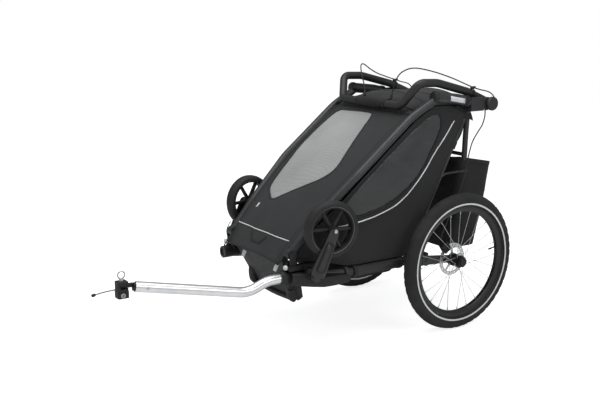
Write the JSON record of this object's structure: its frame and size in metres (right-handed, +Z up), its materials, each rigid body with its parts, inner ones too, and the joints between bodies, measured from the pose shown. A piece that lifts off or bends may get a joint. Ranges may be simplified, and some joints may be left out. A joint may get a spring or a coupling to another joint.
{
  "type": "child bicycle trailer",
  "caption": "Child bicycle trailer with a folding cabin, spoked wheels, stowed stroller wheels, tow arm, handlebar and rear bag.",
  "frame": {"origin": "on the ground, in the middle of the trailer's length and width", "axes": "+Z up, -Y towards the bicycle (the front), +Y to the rear, +X to the trailer's left side, the side of the tow arm"},
  "size_m": [0.652, 1.5746, 0.9391],
  "materials": {
    "tube_grey": "satin",
    "tube_dark": "satin",
    "black_plastic": "textured",
    "cover_fabric": "woven",
    "side_fabric": "woven",
    "mesh": "open mesh",
    "seat_fabric": "padded weave",
    "webbing": "webbing",
    "tyre_rubber": "moulded",
    "rim_alloy": "satin",
    "tow_alloy": "polished",
    "spoke_steel": "drawn",
    "bright_steel": "ground",
    "grip_rubber": "grained",
    "cable_black": "smooth",
    "reflector": "prismatic",
    "leash": "braided"
  },
  "bodies": {
    "chassis": {"side_rails": "tube_dark", "front_cross_tube": "tube_dark", "tow_receiver": "black_plastic", "axle_beam": "tube_dark", "floor_tub": "cover_fabric", "nose_shell": "black_plastic", "nose_reflectors": "reflector", "wheel_arm_sockets": "black_plastic", "seat_cushion": "seat_fabric", "seat_back": "seat_fabric", "rear_panel": "cover_fabric", "harness": "webbing", "rear_bag": "cover_fabric", "side_panel_left": "side_fabric", "side_panel_right": "side_fabric", "lower_brake_cables": "cable_black"},
    "upper_frame": {"upper_tubes": "tube_grey", "knuckles": "black_plastic", "front_cover": "cover_fabric", "mesh_window": "mesh", "roof_canopy": "cover_fabric"},
    "rear_frame": {"rear_struts": "tube_grey"},
    "handlebar": {"handlebar": "tube_dark", "cable_clips": "black_plastic", "brake_cable_left": "cable_black", "brake_cable_right": "cable_black"},
    "brake_grip": {"brake_grip": "grip_rubber"},
    "hub_disc_left": {"hub_disc_left": "black_plastic"},
    "hub_disc_right": {"hub_disc_right": "black_plastic"},
    "wheel_arm_left": {"wheel_arm_left": "black_plastic"},
    "wheel_arm_right": {"wheel_arm_right": "black_plastic"},
    "stroller_wheel_left": {"stroller_wheel_left": "grip_rubber"},
    "stroller_wheel_right": {"stroller_wheel_right": "grip_rubber"},
    "swing_left": {"swing_arm_left": "tube_dark", "caliper_left": "black_plastic"},
    "swing_right": {"swing_arm_right": "tube_dark", "caliper_right": "black_plastic"},
    "wheel_left": {"tyre_left": "tyre_rubber", "rim_left": "rim_alloy", "spokes_left": "spoke_steel", "hub_left": "black_plastic", "rotor_left": "bright_steel"},
    "wheel_right": {"tyre_right": "tyre_rubber", "rim_right": "rim_alloy", "spokes_right": "spoke_steel", "hub_right": "black_plastic", "rotor_right": "bright_steel"},
    "hub_button_left": {"hub_button_left": "black_plastic"},
    "hub_button_right": {"hub_button_right": "black_plastic"},
    "tow_arm": {"tow_tube": "tow_alloy", "tow_plug": "black_plastic"},
    "tow_button": {"tow_button": "bright_steel"},
    "tow_lock": {"tow_lock_pin": "black_plastic"},
    "hitch": {"hitch_head": "black_plastic", "hitch_cup": "black_plastic", "axle_bushing": "bright_steel", "hitch_leash": "leash", "leash_bead": "black_plastic"},
    "ring_pin": {"ring_pin": "bright_steel"},
    "brake_pedal": {"brake_pedal": "black_plastic"}
  },
  "joints": [
    {"name": "frame_fold", "type": "hinge", "parent": "chassis", "child": "upper_frame", "pos_m": [0, -0.1695, 0.352], "axis": [-1, 0, 0], "range_deg": [0, 27], "deforming": ["seat_back", "rear_panel", "harness", "rear_bag", "side_panel_left", "side_panel_right", "lower_brake_cables"]},
    {"name": "strut_fold", "type": "hinge", "parent": "upper_frame", "child": "rear_frame", "pos_m": [0, 0.5775, 0.8], "axis": [-1, 0, 0], "range_deg": [0, 27]},
    {"name": "handlebar_flip", "type": "hinge", "parent": "upper_frame", "child": "handlebar", "pos_m": [0, 0.6515, 0.806], "axis": [-1, 0, 0], "range_deg": [0, 150]},
    {"name": "brake_grip_turn", "type": "hinge", "parent": "handlebar", "child": "brake_grip", "pos_m": [0, 0.3035, 0.809], "axis": [1, 0, 0], "range_deg": [0, 45], "stiffness_Nm_per_rad": 0.6, "springref_deg": -5.73},
    {"name": "tow_slide", "type": "slide", "parent": "chassis", "child": "tow_arm", "axis": [0, -1, 0], "range_m": [0, 0.1]},
    {"name": "hitch_swivel", "type": "hinge", "parent": "tow_arm", "child": "hitch", "pos_m": [0.129, -0.7315, 0.324], "axis": [0, 0, 1], "range_deg": [-30, 30]},
    {"name": "ring_pin_lift", "type": "slide", "parent": "hitch", "child": "ring_pin", "axis": [0, 0, 1], "range_m": [0, 0.036]},
    {"name": "tow_button_press", "type": "slide", "parent": "tow_arm", "child": "tow_button", "axis": [-1, 0, 0], "range_m": [0, 0.004], "stiffness_N_per_m": 800, "springref_m": -0.002},
    {"name": "tow_lock_pull", "type": "slide", "parent": "chassis", "child": "tow_lock", "axis": [0, 0, -1], "range_m": [0, 0.008], "stiffness_N_per_m": 900, "springref_m": -0.003},
    {"name": "brake_pedal_press", "type": "hinge", "parent": "chassis", "child": "brake_pedal", "pos_m": [0, 0.3655, 0.262], "axis": [-1, 0, 0], "range_deg": [0, 20]},
    {"name": "hub_disc_press_left", "type": "slide", "parent": "handlebar", "child": "hub_disc_left", "axis": [-1, 0, 0], "range_m": [0, 0.004], "stiffness_N_per_m": 900, "springref_m": -0.002},
    {"name": "wheel_arm_turn_left", "type": "hinge", "parent": "chassis", "child": "wheel_arm_left", "pos_m": [0.218, -0.1145, 0.287], "axis": [-0.9903, 0.1392, 0], "range_deg": [0, 158]},
    {"name": "stroller_wheel_spin_left", "type": "hinge", "parent": "wheel_arm_left", "child": "stroller_wheel_left", "pos_m": [0.26723, -0.05881, 0.437], "axis": [0.9903, -0.1392, 0], "continuous": true},
    {"name": "suspension_left", "type": "hinge", "parent": "chassis", "child": "swing_left", "pos_m": [0.256, 0.3655, 0.262], "axis": [1, 0, 0], "range_deg": [0, 6], "stiffness_Nm_per_rad": 150, "springref_deg": -6.88},
    {"name": "wheel_spin_left", "type": "hinge", "parent": "swing_left", "child": "wheel_left", "pos_m": [0.298, 0.4855, 0.25], "axis": [1, 0, 0], "continuous": true},
    {"name": "hub_button_press_left", "type": "slide", "parent": "wheel_left", "child": "hub_button_left", "axis": [-1, 0, 0], "range_m": [0, 0.003], "stiffness_N_per_m": 900, "springref_m": -0.002},
    {"name": "hub_disc_press_right", "type": "slide", "parent": "handlebar", "child": "hub_disc_right", "axis": [1, 0, 0], "range_m": [0, 0.004], "stiffness_N_per_m": 900, "springref_m": -0.002},
    {"name": "wheel_arm_turn_right", "type": "hinge", "parent": "chassis", "child": "wheel_arm_right", "pos_m": [-0.218, -0.1145, 0.287], "axis": [-0.9903, -0.1392, 0], "range_deg": [0, 158]},
    {"name": "stroller_wheel_spin_right", "type": "hinge", "parent": "wheel_arm_right", "child": "stroller_wheel_right", "pos_m": [-0.26723, -0.05881, 0.437], "axis": [0.9903, 0.1392, 0], "continuous": true},
    {"name": "suspension_right", "type": "hinge", "parent": "chassis", "child": "swing_right", "pos_m": [-0.256, 0.3655, 0.262], "axis": [1, 0, 0], "range_deg": [0, 6], "stiffness_Nm_per_rad": 150, "springref_deg": -6.88},
    {"name": "wheel_spin_right", "type": "hinge", "parent": "swing_right", "child": "wheel_right", "pos_m": [-0.298, 0.4855, 0.25], "axis": [1, 0, 0], "continuous": true},
    {"name": "hub_button_press_right", "type": "slide", "parent": "wheel_right", "child": "hub_button_right", "axis": [1, 0, 0], "range_m": [0, 0.003], "stiffness_N_per_m": 900, "springref_m": -0.002}
  ],
  "couplings": [
    {"joint": "strut_fold", "follows": "frame_fold", "ratio": 1}
  ]
}
